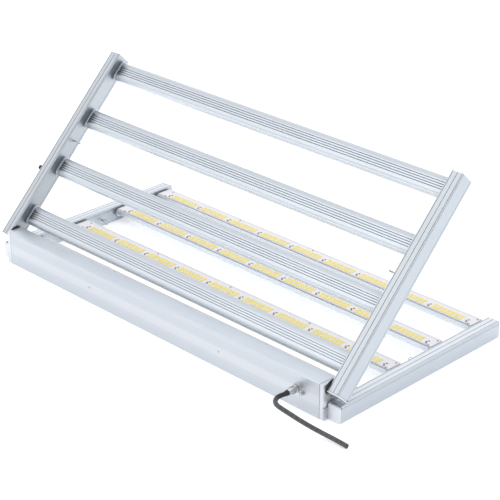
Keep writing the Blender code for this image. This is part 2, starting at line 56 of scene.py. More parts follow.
joints = {joint["name"]: joint for joint in frame["joints"]}

# ---- Camera ----
CAMERA_AZIMUTH = 45.17
CAMERA_ELEVATION = 25.46
CAMERA_DISTANCE = 3.2803
CAMERA_TARGET = (0.2958, 0.0, 0.3026)
CAMERA_LENS = 116.735
CAMERA_SENSOR = 36.0

# ---- Wing frames ----
UPPER_OPEN_ANGLE = -joints["upper_wing_hinge"]["range_deg"][0]
UPPER_HINGE = Vector(joints["upper_wing_hinge"]["pos_m"])
LOWER_HINGE = Vector(joints["lower_wing_hinge"]["pos_m"])
WINGS = {
    "upper": (UPPER_HINGE, (radians(UPPER_OPEN_ANGLE), 0.0, 0.0)),
    "lower": (LOWER_HINGE, (0.0, pi, 0.0)),
}
BAR_NUMBERS = (1, 2, 3, 4)

# ---- Places read off the CAD ----
RAIL_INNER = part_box("upper_right_rail")[0].x
RAIL_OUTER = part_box("upper_right_rail")[1].x
HEATSINK_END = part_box("upper_bar_1_heatsink")[1].x
BRACKET_FLANGE_X = HEATSINK_END + 0.0033
END_CAP_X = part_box("spine_right_end_cap")[1].x
SPINE_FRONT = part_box("spine_housing")[0].y
SPINE_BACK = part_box("spine_housing")[1].y
SPINE_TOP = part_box("spine_housing")[1].z
SPINE_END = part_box("spine_housing")[1].x
FAR = 1.0                    # a length beyond the whole object

# ---- Cord ----
CORD_RADIUS = 0.0050
CORD_ROUTE = (
    (0.4450, -0.0416, 0.0485),
    (0.4450, -0.0490, 0.0485),
    (0.4431, -0.0594, 0.0484),
    (0.4457, -0.0754, 0.0483),
    (0.4591, -0.0891, 0.0481),
    (0.4835, -0.0917, 0.0453),
    (0.5139, -0.0760, 0.0274),
    (0.5378, -0.0654, 0.0165),
    (0.5664, -0.0588, 0.0104),
    (0.5960, -0.0557, 0.0075),
    (0.6205, -0.0543, 0.0053),
)
CORD_STEP = 0.0030
CORD_SIDES = 20
CORD_END_ROUND = 0.0012
CORD_END_ANGLES = (0, 30, 60, 80)

# ---- LED layout, in a wing's frame, along -X from each mark ----
MARK_COUNT = 10
MARK_PITCH = 0.1078
MARK_SHIFT = 0.0072
COLUMNS = 7                  # double columns of chips between two marks
COLUMN_START = 0.0133
COLUMN_PITCH = 0.0126
COLUMN_HALF = 0.0024         # from a double column's middle to its chips
CHIPS_ACROSS = 4
CHIP_PITCH = 0.0053
ROW_SHIFT = -0.0060          # of the chips' rows towards the hinge
CHIP_SIZE = (0.0046, 0.0050)
RED_OFFSETS = ((-0.0014, -0.0026), (0.0014, 0.0030), (0.0020, -0.0075))
RED_SIZE = (0.0046, 0.0044)
CHIP_HEIGHT = 0.0008
CHIP_RIM = 0.00014
CHIP_POCKET = 0.0002
CHIP_EMBED = 0.0001
LENS_INDEX = 1               # of the lens in a chip mesh's materials
RED_INDEX = 2

# ---- Screws ----
BOARD_SCREW_HEAD = (0.0022, 0.0011)      # radius and height
BOARD_SCREW_NUMBERS = (-2, -1, 0, 1, 2)
BOARD_SCREW_PITCH = 0.2490
BOARD_SCREW_SHIFT = 0.0075
BOARD_SCREW_ACROSS = 0.0125
END_SCREW_X = 0.4950
END_SCREW_ACROSS = -0.0170
SPINE_SCREW_HEAD = (0.0022, 0.0009)
SPINE_SCREW_X = 0.213
SPINE_SCREW_Z = 0.0405
SCREW_EMBED = 0.0003
SCREW_ROOT = 0.96                        # the embedded end's share of the radius
SCREW_PROFILE = ((1.0, 0.0), (1.0, 0.55), (0.90, 0.85), (0.70, 1.0), (0.50, 1.0), (0.46, 0.35))
SCREW_SOCKET_RINGS = (5, 6)              # of the profile with its root, six-sided

# ---- Gland and port: (radius, height) points out of the spine ----
GLAND_SEAL = ((0.0062, -0.0010), (0.0063, 0.0004), (0.0058, 0.0040), (0.0054, 0.0075),
              (0.0051, 0.0075), (0.0051, -0.0010))
GLAND_BASE_RING = ((0.0104, 0.0), (0.0104, 0.0007), (0.0100, 0.0012), (0.0090, 0.0012),
                   (0.0090, 0.0))
GLAND_LOCK_RING = ((0.0093, 0.0064), (0.0093, 0.0078), (0.0088, 0.0084), (0.0080, 0.0084),
                   (0.0080, 0.0064))
GLAND_O_RING = ((0.0088, 0.0050), (0.0088, 0.0064), (0.0078, 0.0064), (0.0078, 0.0050))
GLAND_RIB = ((0.0074, 0.0110), (0.0084, 0.0110), (0.0088, 0.0122), (0.0078, 0.0200),
             (0.0068, 0.0210))
GLAND_RIB_HALF = 0.0006
GLAND_RIBS = 12
PORT_COLLAR = ((0.0043, -0.0032), (0.0047, -0.0028), (0.0047, -0.0006), (0.0043, 0.0004),
               (0.0031, 0.0004), (0.0030, -0.0008), (0.0038, -0.0032))
PORT_SOCKET = ((0.0030, -0.0001), (0.0029, 0.0002), (0.0010, 0.0002), (0.0009, 0.0008))

# ---- Side plug's head and rail corner blocks of painted shade ----
PLUG_HEAD_EMBED = 0.0002
PLUG_HEAD_CLEAR = 0.0004     # between the CAD plug and the head's skirt
PLUG_HEAD_HEIGHTS = (0.0080, 0.0096, 0.0104, 0.0106, 0.0094, 0.0088)
CORNER_BLOCK_OUTLINE = ((0.0, 0.0), (0.0026, 0.0), (0.0026, 0.0020), (0.0014, 0.0032), (0.0, 0.0032))
CORNER_BLOCK_START = 0.0004        # past the rail's end
CORNER_BLOCK_TOP = 0.0058          # above the rail's lamp face
CORNER_BLOCK_DEPTH = 0.0025
CORNER_BLOCK_PROUD = 0.0002

# ---- Mesh finish ----
LATHE_SIDES = 24
COLLAR_SIDES = 32
SHARP_ANGLE = radians(35)
WELD_DISTANCE = 0.00001
EDGE_ROUND = 0.0004
EDGE_ANGLE = radians(40)

# ---- Tones: light and dark of each finish ----
ALUMINIUM_METAL = 0.85
ALUMINIUM_TONES = ((0.735, 0.780, 0.835), (0.665, 0.715, 0.775))
BRACKET_TONES = ((0.76, 0.80, 0.85), (0.68, 0.72, 0.78))
UPPER_CAP_TONES = ((0.78, 0.81, 0.87), (0.71, 0.75, 0.81))
# painted light: the lower hinge caps are a lighter tone, with less metal, than the upper ones, to
# lighten their shaded top
LOWER_CAP_PAINTED_LIGHT_TONES = ((0.82, 0.85, 0.90), (0.76, 0.79, 0.85))
LOWER_CAP_METAL = 0.35
END_CAP_TONES = ((0.74, 0.77, 0.83), (0.67, 0.71, 0.77))
BOARD_TONES = ((0.90, 0.89, 0.94), (0.80, 0.79, 0.86))
CHIP_FRAME_TONES = ((0.92, 0.90, 0.86), (0.84, 0.80, 0.74))
LENS_TONES = ((1.0, 0.87, 0.13), (0.97, 0.78, 0.06))
RED_TONES = ((0.12, 0.006, 0.015), (0.035, 0.002, 0.006))
ZINC_TONES = ((0.66, 0.67, 0.69), (0.46, 0.47, 0.50))
NICKEL_TONES = ((0.80, 0.80, 0.81), (0.52, 0.53, 0.56))
DARK_SCREW_TONES = ((0.50, 0.51, 0.53), (0.32, 0.33, 0.35))
WASHER_TONES = ((0.060, 0.063, 0.070), (0.020, 0.021, 0.025))
GLAND_RUBBER_TONES = ((0.050, 0.050, 0.054), (0.022, 0.022, 0.025))
PLUG_RUBBER_TONES = ((0.032, 0.033, 0.036), (0.010, 0.010, 0.012))
CORNER_BLOCK_PAINTED_SHADE_TONES = ((0.10, 0.105, 0.115), (0.045, 0.048, 0.055))
DRIVER_TONES = ((0.80, 0.80, 0.81), (0.70, 0.70, 0.72))
CORD_TONES = ((0.125, 0.125, 0.130), (0.038, 0.039, 0.042))
FLOOR_TONES = ((0.96, 0.96, 0.965), (0.93, 0.935, 0.94))

# ---- Shades laid over the tones in places, most of them painted light and shade ----
GROOVE_PAINTED_SHADE = (0.34, 0.37, 0.42)
RAIL_TINT = (0.84, 0.84, 0.83)
RAIL_SIDE_PAINTED_SHADE = (0.50, 0.55, 0.62)
BEHIND_BAR_PAINTED_SHADE = (0.21, 0.23, 0.26)
SHOULDER_PAINTED_SHADE = (0.50, 0.53, 0.57)
BAR_END_PAINTED_SHADE = (0.20, 0.22, 0.26)
LEDGE_PAINTED_LIGHT = (0.76, 0.78, 0.83)
FIN_END_PAINTED_SHADOW = (0.035, 0.042, 0.055)
SPINE_SEAM_PAINTED_SHADOW = (0.10, 0.11, 0.13)
CAP_SEAM_PAINTED_SHADOW = (0.10, 0.105, 0.12)
BRACKET_PAINTED_SHADE = (0.22, 0.24, 0.27)
END_CAP_PAINTED_LIGHT = (0.98, 0.985, 1.0)
TRACK_SHADE = (0.70, 0.72, 0.82)
BOARD_EDGE_SHADE = (0.60, 0.645, 0.72)
WASHER_PAINTED_LIGHT = (0.42, 0.44, 0.47)
CORD_DUST = (0.16, 0.16, 0.165)
CORD_START_SHADE = (0.010, 0.010, 0.012)

# ---- Where the shades lie ----
SHARP = 0.0002               # softness of a shade that ends at an edge
SKIN = 0.0006                # depth of a rail's face as far as its shade goes
GROOVE_MARGIN = 0.0022       # from a rail's side to its grooved strip
GROOVE_DEPTH = 0.0004        # below a rail's face, where its groove starts
BEHIND_BAR_INSET = 0.002
BEHIND_BAR_SOFT = 0.004
SHOULDER_WIDTH = 0.0125
FIN_INSET = 0.0105           # from a bar's long edges to its finned strip
LEFT_END_REACH = 0.050       # of the painted shade at a bar's left end along X
RIGHT_END_REACH = 0.030
FIN_END_REACH = 0.026
SEAM_WIDTH = 0.0008
BOARD_EDGE = (0.0115, 0.0195)            # off the board's centre line
CORD_START = (0.030, 0.055)              # along the cord
# height below which the washers and plugs get painted light
WASHER_EDGE = UPPER_HINGE.z - 0.0070
SPINE_PAINTED_BANDS = (              # lowest, highest, softness, strength and shade of painted shade and highlight bands
    (-0.001, SPINE_TOP - 0.0006, 0.0003, 0.60, (0.52, 0.55, 0.59)),
    (0.052, 0.0725, 0.0015, 0.12, (0.45, 0.48, 0.52)),
    (-0.01, 0.027, 0.002, 0.08, (0.50, 0.54, 0.60)),
    (0.029, 0.051, 0.003, 0.25, (0.80, 0.79, 0.84)),
)
NOISE_SPAN = (0.3, 0.7)      # most of a noise's values lie between these

# ---- Studio ----
FLOOR_REACH = 12.0
FLOOR_CELLS = 8
FLOOR_DROP = 0.0004
FLOOR_GLOW = (0.985, 0.99, 1.0, 1.0)
FLOOR_GLOW_STRENGTH = 0.42
WORLD_COLOUR = (0.995, 0.995, 1.0, 1.0)
WORLD_BRIGHT_SIDE = (-0.55, 0.62, 0.56)
WORLD_DIM_UP_TO = -0.6       # cosine to the bright side
WORLD_STRENGTHS = (0.52, 1.22)
LIGHT_AIM = (0.0, 0.1, 0.1)
LIGHTS = (                   # name, place, size and energy
    ("key", (-1.6, -2.4, 3.2), 2.6, 14.0),
    ("top", (0.3, 0.6, 3.6), 2.0, 6.0),
)


# ---- Small mesh tools ----

def wing_matrix(wing):
    """World matrix of a wing's own frame at rest."""
    place, turn = WINGS[wing]
    return (Matrix.Translation(place) @ Matrix.Rotation(turn[1], 4, "Y")
            @ Matrix.Rotation(turn[0], 4, "X"))


def local_box(node, wing):
    """Lowest and highest corner of a CAD node in its wing's frame."""
    inverse = wing_matrix(wing).inverted()
    points = [inverse @ vertex.co for vertex in nodes[node].data.vertices]
    return Vector(map(min, zip(*points))), Vector(map(max, zip(*points)))


def bar_row(wing, part):
    """Lowest and highest corner of a part of the first bar, and the step to the next bar."""
    low, high = local_box("%s_bar_1_%s" % (wing, part), wing)
    return low, high, local_box("%s_bar_2_%s" % (wing, part), wing)[0].y - low.y


def finished_mesh(name, bm, materials):
    """Mesh with outward faces, smooth except at its edges."""
    bmesh.ops.recalc_face_normals(bm, faces=bm.faces)
    mesh = bpy.data.meshes.new(name)
    bm.to_mesh(mesh)
    bm.free()
    mesh.shade_smooth()
    mesh.set_sharp_from_angle(angle=SHARP_ANGLE)
    for material in materials:
        mesh.materials.append(material)
    return mesh


def place_mesh(name, mesh, body, matrix=None):
    """Show a mesh as a piece that rides on a CAD body."""
    piece = bpy.data.objects.new(name, mesh)
    bpy.context.scene.collection.objects.link(piece)
    if matrix is not None:
        piece.matrix_world = matrix
    bpy.context.view_layer.update()
    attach(piece, body)
    return piece


def add_piece(name, bm, materials, body, matrix=None):
    """Turn a bmesh into a piece that rides on a CAD body."""
    return place_mesh(name, finished_mesh(name, bm, materials), body, matrix)


def facing(axis, place):
    """Matrix that turns +Z to an axis and moves the origin to a place."""
    turn = Vector(axis).to_track_quat("Z", "Y").to_matrix().to_4x4()
    return Matrix.Translation(place) @ turn


def hexagon(angle):
    """Reach of a hexagon's side at an angle, for a reach of 1 at its corners."""
    sixth = pi / 3
    return cos(sixth / 2) / cos(angle - sixth * floor(angle / sixth) - sixth / 2)


def lathe(bm, profile, matrix, hex_rings=()):
    """Turned solid about Z from (radius, height) points; a ring in hex_rings is six-sided."""
    rings = []
    for number, (radius, height) in enumerate(profile):
        ring = []
        for side in range(LATHE_SIDES):
            angle = 2 * pi * side / LATHE_SIDES
            reach = radius * (hexagon(angle) if number in hex_rings else 1.0)
            point = Vector((reach * cos(angle), reach * sin(angle), height))
            ring.append(bm.verts.new(matrix @ point))
        rings.append(ring)
    cap_ends(bm, rings)


def cap_ends(bm, rings):
    """Closed solid from rings of vertices."""
    bm.faces.new(rings[0])
    bm.faces.new(rings[-1])
    bridge(bm, rings)


def bridge(bm, rings, closed=False):
    """Quads between successive rings of vertices."""
    pairs = list(zip(rings, rings[1:]))
    if closed:
        pairs.append((rings[-1], rings[0]))
    for near, far in pairs:
        for i in range(len(near)):
            j = (i + 1) % len(near)
            bm.faces.new((near[i], near[j], far[j], far[i]))


def collar(bm, profile, matrix):
    """Turned ring about Z: the profile closes on itself and doesn't reach the axis."""
    rings = []
    for radius, height in profile:
        rings.append([
            bm.verts.new(matrix @ Vector((radius * cos(a), radius * sin(a), height)))
            for a in (2 * pi * side / COLLAR_SIDES for side in range(COLLAR_SIDES))
        ])
    bridge(bm, rings, closed=True)


# ---- Materials ----

class Look:
    """A Principled material and the few node chains that the surfaces share."""

    def __init__(self, name, roughness, metallic, **sockets):
        self.material = bpy.data.materials.new(name)
        self.material.use_nodes = True
        self.tree = self.material.node_tree
        self.shader = self.tree.nodes["Principled BSDF"]
        self.shader.inputs["Roughness"].default_value = roughness
        self.shader.inputs["Metallic"].default_value = metallic
        for socket, value in sockets.items():
            self.shader.inputs[socket.replace("_", " ")].default_value = value
        self.coordinates = self.add("ShaderNodeTexCoord").outputs["Object"]

    def add(self, kind, inputs=None, **settings):
        """New node with its settings, and its inputs linked or set."""
        node = self.tree.nodes.new(kind)
        for key, value in settings.items():
            setattr(node, key, value)
        for key, value in (inputs or {}).items():
            self.feed(node.inputs[key], value)
        return node

    def feed(self, socket, value):
        """Link a socket to another node's output, or set its value."""
        if isinstance(value, bpy.types.NodeSocket):
            self.tree.links.new(value, socket)
        else:
            socket.default_value = value

    def sums(self, operation, first, second=0.0):
        """Math node's result."""
        return self.add("ShaderNodeMath", {0: first, 1: second}, operation=operation).outputs[0]

    def wing_coordinates(self, wing):
        """Coordinates in a wing's own frame."""
        place, turn = WINGS[wing]
        return self.add("ShaderNodeMapping", {"Vector": self.coordinates, "Location": place,
                                              "Rotation": turn}, vector_type="TEXTURE").outputs[0]

    def axes(self, vector):
        """X, Y and Z of a vector."""
        return self.add("ShaderNodeSeparateXYZ", {0: vector}).outputs

    def across_bars(self, y, start, pitch):
        """Distance from the start of each bar, for bars a pitch apart along Y."""
        return self.sums("MODULO", self.sums("SUBTRACT", y, start), pitch)

    def noise(self, vector, scale, stretch=(1, 1, 1), detail=2.0):
        """Noise with its own stretch along each axis."""
        mapped = self.add("ShaderNodeMapping", {"Vector": vector, "Scale": stretch}).outputs[0]
        return self.add("ShaderNodeTexNoise", {"Vector": mapped, "Scale": scale,
                                               "Detail": detail}).outputs["Fac"]

    def remap(self, value, low, high, start=0.0, end=1.0):
        """A value's range from start to end, moved to low to high."""
        return self.add("ShaderNodeMapRange", {"Value": value, "From Min": start, "From Max": end,
                                               "To Min": low, "To Max": high}).outputs[0]

    def band(self, value, low, high, soft):
        """1 between two limits of a value and 0 beyond them, with soft edges."""
        rise = self.remap(value, 0.0, 1.0, low - soft, low + soft)
        fall = self.remap(value, 1.0, 0.0, high - soft, high + soft)
        return self.sums("MULTIPLY", rise, fall)

    def blend(self, factor, first, second, mode="MIX"):
        """Two colours mixed by a factor."""
        node = self.add("ShaderNodeMix", data_type="RGBA", blend_type=mode)
        for socket, value in ((0, factor), (6, first), (7, second)):
            if isinstance(value, tuple):
                value = (*value, 1.0)
            self.feed(node.inputs[socket], value)
        return node.outputs[2]

    def shade(self, colour, where, strength, tone):
        """A colour with another tone laid over a part of the surface."""
        return self.blend(self.sums("MULTIPLY", where, strength), colour, tone)

    def bump(self, height, strength, distance, under=None):
        """Bump from a height, over another bump if there is one."""
        inputs = {"Height": height, "Strength": strength, "Distance": distance}
        if under is not None:
            inputs["Normal"] = under
        return self.add("ShaderNodeBump", inputs).outputs[0]

    def finish(self, colour, roughness=None, normal=None):
        """Plug the chains into the shader."""
        self.feed(self.shader.inputs["Base Color"], colour)
        if roughness is not None:
            self.feed(self.shader.inputs["Roughness"], roughness)
        if normal is not None:
            self.feed(self.shader.inputs["Normal"], normal)
        return self.material


def extruded_grain(look, vector, along):
    """Colour, roughness and normal of extruded, satin anodised aluminium."""
    light, dark = ALUMINIUM_TONES
    stretch = tuple(1.0 if axis == along else 40.0 for axis in range(3))
    streaks = look.noise(vector, scale=9.0, stretch=stretch, detail=3.0)
    cloud = look.noise(vector, scale=7.0)
    dust = look.noise(vector, scale=2600.0, detail=1.0)
    tone = look.sums("ADD", look.remap(streaks, 0.0, 0.6, *NOISE_SPAN),
                     look.remap(cloud, 0.0, 0.4, *NOISE_SPAN))
    roughness = look.remap(streaks, 0.34, 0.46, start=0.25, end=0.75)
    normal = look.bump(dust, strength=0.10, distance=0.00004)
    normal = look.bump(streaks, strength=0.25, distance=0.00006, under=normal)
    return look.blend(tone, dark, light), roughness, normal


def cast_grain(look, tones):
    """Colour, roughness and normal of cast or machined aluminium with a fine grain."""
    light, dark = tones
    fine = look.noise(look.coordinates, scale=900.0)
    broad = look.noise(look.coordinates, scale=30.0, detail=3.0)
    colour = look.blend(look.remap(broad, 0.0, 1.0, *NOISE_SPAN), dark, light)
    roughness = look.remap(broad, 0.36, 0.50, *NOISE_SPAN)
    return colour, roughness, look.bump(fine, strength=0.20, distance=0.00006)


def rail_material(wing):
    """Extruded rail with grooves in both faces; painted shade in the grooves, on the sides and
    behind the bars, and painted light on the lamp face.
    """
    look = Look(wing + "_rail_aluminium", 0.4, ALUMINIUM_METAL)
    local = look.wing_coordinates(wing)
    colour, roughness, normal = extruded_grain(look, local, 1)
    x, y, z = look.axes(local)
    low, high = local_box(wing + "_right_rail", wing)
    reach = look.sums("ABSOLUTE", x)
    inside = look.band(reach, RAIL_INNER + GROOVE_MARGIN, RAIL_OUTER - GROOVE_MARGIN, SHARP)
    depth = look.band(z, low.z + GROOVE_DEPTH, high.z - GROOVE_DEPTH, SHARP)
    core = look.band(reach, RAIL_INNER + SKIN, RAIL_OUTER - SKIN, SHARP)
    lamp_face = look.band(z, low.z - 0.001, low.z + SKIN, SHARP)
    bar_low, bar_high, pitch = bar_row(wing, "heatsink")
    margin = (pitch - bar_high.y + bar_low.y) / 2
    across = look.across_bars(y, bar_low.y - margin, pitch)
    along_rail = look.band(across, margin + BEHIND_BAR_INSET, pitch - margin - BEHIND_BAR_INSET,
                           BEHIND_BAR_SOFT)
    up_rail = look.band(z, bar_low.z, high.z - BEHIND_BAR_INSET, BEHIND_BAR_INSET)
    inner_face = look.band(reach, 0.0, RAIL_INNER + SKIN, SHARP)
    behind_bar = look.sums("MULTIPLY", look.sums("MULTIPLY", along_rail, up_rail), inner_face)
    colour = look.blend(1.0, colour, RAIL_TINT, "MULTIPLY")
    # painted shade: the rail's side faces are darkened as if less lit than its other faces
    colour = look.shade(colour, look.sums("SUBTRACT", 1.0, core), 0.5, RAIL_SIDE_PAINTED_SHADE)
    # painted light: the lamp face is lightened as if more brightly lit
    colour = look.shade(colour, lamp_face, 0.8, ALUMINIUM_TONES[0])
    # painted shade: the rails' inner faces are darkened behind each bar, standing in for the bar's
    # shadow and dark reflection
    colour = look.shade(colour, behind_bar, 0.52, BEHIND_BAR_PAINTED_SHADE)
    # painted shade: the grooves of both faces are darkened where shade falls in them
    colour = look.blend(look.sums("MULTIPLY", inside, depth), colour, GROOVE_PAINTED_SHADE)
    return look.finish(colour, roughness, normal)


def heatsink_material(wing):
    """Finned bar: streaks along X, painted shade on the outer shoulder and at the ends by the
    brackets, painted light on the lamp-side ledge, and painted shadow in the fins at the left end.
    """
    look = Look(wing + "_heatsink_aluminium", 0.4, ALUMINIUM_METAL)
    local = look.wing_coordinates(wing)
    colour, roughness, normal = extruded_grain(look, local, 0)
    x = look.axes(look.coordinates)[0]
    _, y, z = look.axes(local)
    low, high, pitch = bar_row(wing, "heatsink")
    width = high.y - low.y
    across = look.across_bars(y, low.y, pitch)
    # painted shade: the outer shoulder is darkened as if turned away from the light
    shoulder = look.band(across, width - SHOULDER_WIDTH, pitch, 0.0005)
    colour = look.shade(colour, shoulder, 0.62, SHOULDER_PAINTED_SHADE)
    # painted shade: the bar darkens towards the brackets, more at the left end, standing in for
    # their shadow and reflection
    left = look.remap(x, 1.0, 0.0, -HEATSINK_END, -HEATSINK_END + LEFT_END_REACH)
    right = look.remap(x, 0.0, 0.25, HEATSINK_END - RIGHT_END_REACH, HEATSINK_END)
    ends = look.sums("ADD", look.sums("POWER", left, 2.6), right)
    colour = look.shade(colour, ends, 0.50, BAR_END_PAINTED_SHADE)
    # painted light: the lamp-side ledge beside the board is lightened against the shade it sits in
    ledge = look.band(z, low.z - 0.001, low.z + 0.0010, SHARP)
    colour = look.shade(colour, ledge, 0.9, LEDGE_PAINTED_LIGHT)
    # painted shadow: the fins near the left bracket darken in streaks, standing in for the
    # flange's shadow and reflection
    fins = look.band(across, FIN_INSET, width - FIN_INSET, 0.0012)
    streaks = look.noise(local, scale=60.0, stretch=(0.2, 9.0, 1.0), detail=1.0)
    fin_end = look.remap(x, 1.0, 0.0, -HEATSINK_END, -HEATSINK_END + FIN_END_REACH)
    fin_end = look.sums("MULTIPLY", look.sums("POWER", fin_end, 1.1), fins)
    dark = look.sums("MULTIPLY", fin_end, look.remap(streaks, 0.65, 1.0, start=0.35, end=0.65))
    return look.finish(look.blend(dark, colour, FIN_END_PAINTED_SHADOW), roughness, normal)


def spine_material():
    """Spine housing: painted bands of shade and highlight up its faces, and a painted shadow at
    the seam with each end cap.
    """
    look = Look("spine_aluminium", 0.4, ALUMINIUM_METAL)
    colour, roughness, normal = extruded_grain(look, look.coordinates, 0)
    x, _, z = look.axes(look.coordinates)
    # painted light and shade: the faces below the top are darkened, with darker and lighter bands
    # up their height as if reflecting the studio
    for low, high, soft, strength, tone in SPINE_PAINTED_BANDS:
        colour = look.shade(colour, look.band(z, low, high, soft), strength, tone)
    # painted shadow: a dark line at each end, standing in for the shade in the gap to the end cap
    seam = look.band(look.sums("ABSOLUTE", x), SPINE_END - 0.0007, FAR, 0.0001)
    colour = look.shade(colour, seam, 0.85, SPINE_SEAM_PAINTED_SHADOW)
    return look.finish(colour, roughness, normal)


def cast_material(name, metallic, tones):
    """Cast or machined aluminium, the same all over."""
    look = Look(name, 0.42, metallic)
    return look.finish(*cast_grain(look, tones))


def end_painted_tone_material(name, tones, tone, shade_from):
    """Cast aluminium with a painted tone beyond a reach along X: painted shade on the bracket
    necks, painted light on the spine's end faces.
    """
    look = Look(name, 0.42, ALUMINIUM_METAL)
    colour, roughness, normal = cast_grain(look, tones)
    reach = look.sums("ABSOLUTE", look.axes(look.coordinates)[0])
    colour = look.shade(colour, look.band(reach, shade_from, FAR, SHARP), 0.85, tone)
    return look.finish(colour, roughness, normal)


def upper_cap_material():
    """Machined hinge cap with a painted shadow where it meets the rail, standing in for the gap
    between them.
    """
    look = Look("upper_hinge_cap", 0.42, ALUMINIUM_METAL)
    colour, roughness, normal = cast_grain(look, UPPER_CAP_TONES)
    y = look.axes(look.wing_coordinates("upper"))[1]
    rail_start = local_box("upper_right_rail", "upper")[0].y
    seam = look.band(y, rail_start - SEAM_WIDTH, FAR, 0.0001)
    return look.finish(look.blend(seam, colour, CAP_SEAM_PAINTED_SHADOW), roughness, normal)


def board_material(wing):
    """White solder mask over faint copper tracks along the board, darker towards its long edges.
    """
    look = Look(wing + "_solder_mask", 0.42, 0.0, Specular_IOR_Level=0.5)
    light, dark = BOARD_TONES
    low, high, pitch = bar_row(wing, "led_board")
    y = look.axes(look.wing_coordinates(wing))[1]
    from_middle = look.sums("SUBTRACT", look.across_bars(y, low.y, pitch), (high.y - low.y) / 2)
    edge = look.remap(look.sums("ABSOLUTE", from_middle), 0.0, 0.70, *BOARD_EDGE)
    tracks = look.add("ShaderNodeTexWave", {"Vector": look.coordinates, "Scale": 90.0,
                                            "Distortion": 1.5, "Detail": 1.0, "Detail Scale": 0.6},
                      wave_type="BANDS", bands_direction="Y").outputs["Fac"]
    ridge = look.remap(tracks, 0.0, 1.0, start=0.45, end=0.55)
    mottle = look.noise(look.coordinates, scale=400.0)
    colour = look.blend(look.remap(mottle, 0.0, 1.0, *NOISE_SPAN), dark, light)
    colour = look.shade(colour, ridge, 0.12, TRACK_SHADE)
    colour = look.blend(edge, colour, BOARD_EDGE_SHADE)
    normal = look.bump(ridge, strength=0.35, distance=0.00008)
    return look.finish(colour, look.remap(mottle, 0.36, 0.50), normal)


def phosphor_material(name, tones):
    """Silicone lens over phosphor: a slightly uneven colour and a soft gloss."""
    look = Look(name, 0.30, 0.0, Specular_IOR_Level=0.6, Coat_Weight=0.2, Coat_Roughness=0.25)
    light, dark = tones
    speckle = look.noise(look.coordinates, scale=1500.0)
    broad = look.noise(look.coordinates, scale=60.0, detail=1.0)
    mix = look.sums("ADD", look.remap(speckle, 0.0, 0.6, *NOISE_SPAN),
                    look.remap(broad, 0.0, 0.4, *NOISE_SPAN))
    normal = look.bump(speckle, strength=0.15, distance=0.00005)
    return look.finish(look.blend(mix, dark, light), look.remap(speckle, 0.22, 0.38), normal)


def chip_frame_material():
    """White moulded chip housing."""
    look = Look("chip_frame", 0.5, 0.0)
    light, dark = CHIP_FRAME_TONES
    specks = look.noise(look.coordinates, scale=2200.0, detail=1.0)
    normal = look.bump(specks, strength=0.1, distance=0.00003)
    return look.finish(look.blend(specks, dark, light), look.remap(specks, 0.42, 0.58), normal)


def metal_material(name, tones, roughness):
    """Plated metal: faint crystal patches and fine scratches."""
    look = Look(name, roughness, 1.0)
    light, dark = tones
    patches = look.add("ShaderNodeTexVoronoi", {"Vector": look.coordinates, "Scale": 420.0},
                       feature="SMOOTH_F1").outputs["Distance"]
    scratches = look.noise(look.coordinates, scale=160.0, stretch=(1.0, 12.0, 3.0), detail=3.0)
    tone = look.sums("ADD", look.remap(patches, 0.0, 0.5),
                     look.remap(scratches, 0.0, 0.5, *NOISE_SPAN))
    rough = look.remap(scratches, roughness - 0.06, roughness + 0.10, *NOISE_SPAN)
    normal = look.bump(scratches, strength=0.2, distance=0.00004)
    return look.finish(look.blend(tone, dark, light), rough, normal)


def moulded_material(name, tones, roughness, painted_light_below=None):
    """Moulded plastic or rubber with a fine matt texture, and painted light below a height if
    given.
    """
    look = Look(name, roughness, 0.0, Specular_IOR_Level=0.4)
    light, dark = tones
    fine = look.noise(look.coordinates, scale=1200.0)
    broad = look.noise(look.coordinates, scale=80.0, detail=3.0)
    colour = look.blend(look.remap(broad, 0.0, 1.0, start=0.35, end=0.75), dark, light)
    # painted light: the part is paled below the height, standing in for light falling on its lower
    # part
    if painted_light_below is not None:
        height = look.axes(look.coordinates)[2]
        pale = look.remap(height, 0.85, 0.0, painted_light_below - 0.002, painted_light_below + 0.001)
        colour = look.blend(pale, colour, WASHER_PAINTED_LIGHT)
    rough = look.remap(broad, roughness - 0.08, roughness + 0.08, *NOISE_SPAN)
    return look.finish(colour, rough, look.bump(fine, strength=0.3, distance=0.00008))


def cord_material():
    """Rubber jacket with a fine diagonal pressed pattern and dust, darker by the gland."""
    look = Look("cord_jacket_rubber", 0.58, 0.0, Specular_IOR_Level=0.45, Sheen_Weight=0.08,
                Sheen_Roughness=0.5)
    light, dark = CORD_TONES
    layout = look.add("ShaderNodeTexCoord").outputs["UV"]
    waves = []
    for turn in (1.0, -1.0):
        vector = look.add("ShaderNodeMapping", {"Vector": layout,
                                                "Scale": (6.0 * turn, 260.0, 1.0)}).outputs[0]
        across, along, _ = look.axes(vector)
        phase = look.sums("ADD", look.sums("MULTIPLY", across, 2 * pi), along)
        waves.append(look.sums("SINE", phase))
    weave = look.remap(look.sums("MULTIPLY", waves[0], waves[1]), 0.0, 1.0, start=-1.0, end=1.0)
    fine = look.noise(look.coordinates, scale=900.0, detail=3.0)
    broad = look.noise(look.coordinates, scale=40.0)
    tone = look.sums("ADD", look.sums("MULTIPLY", weave, 0.55), look.sums("MULTIPLY", fine, 0.45))
    colour = look.blend(tone, dark, light)
    colour = look.blend(look.remap(broad, 0.0, 0.35, start=0.4, end=0.75), colour, CORD_DUST)
    along_cord = look.axes(layout)[1]
    colour = look.blend(look.remap(along_cord, 0.85, 0.0, *CORD_START), colour, CORD_START_SHADE)
    normal = look.bump(fine, strength=0.2, distance=0.00006)
    normal = look.bump(weave, strength=0.5, distance=0.00018, under=normal)
    return look.finish(colour, look.remap(fine, 0.50, 0.68, *NOISE_SPAN), normal)


# ---- Camera and cord ----

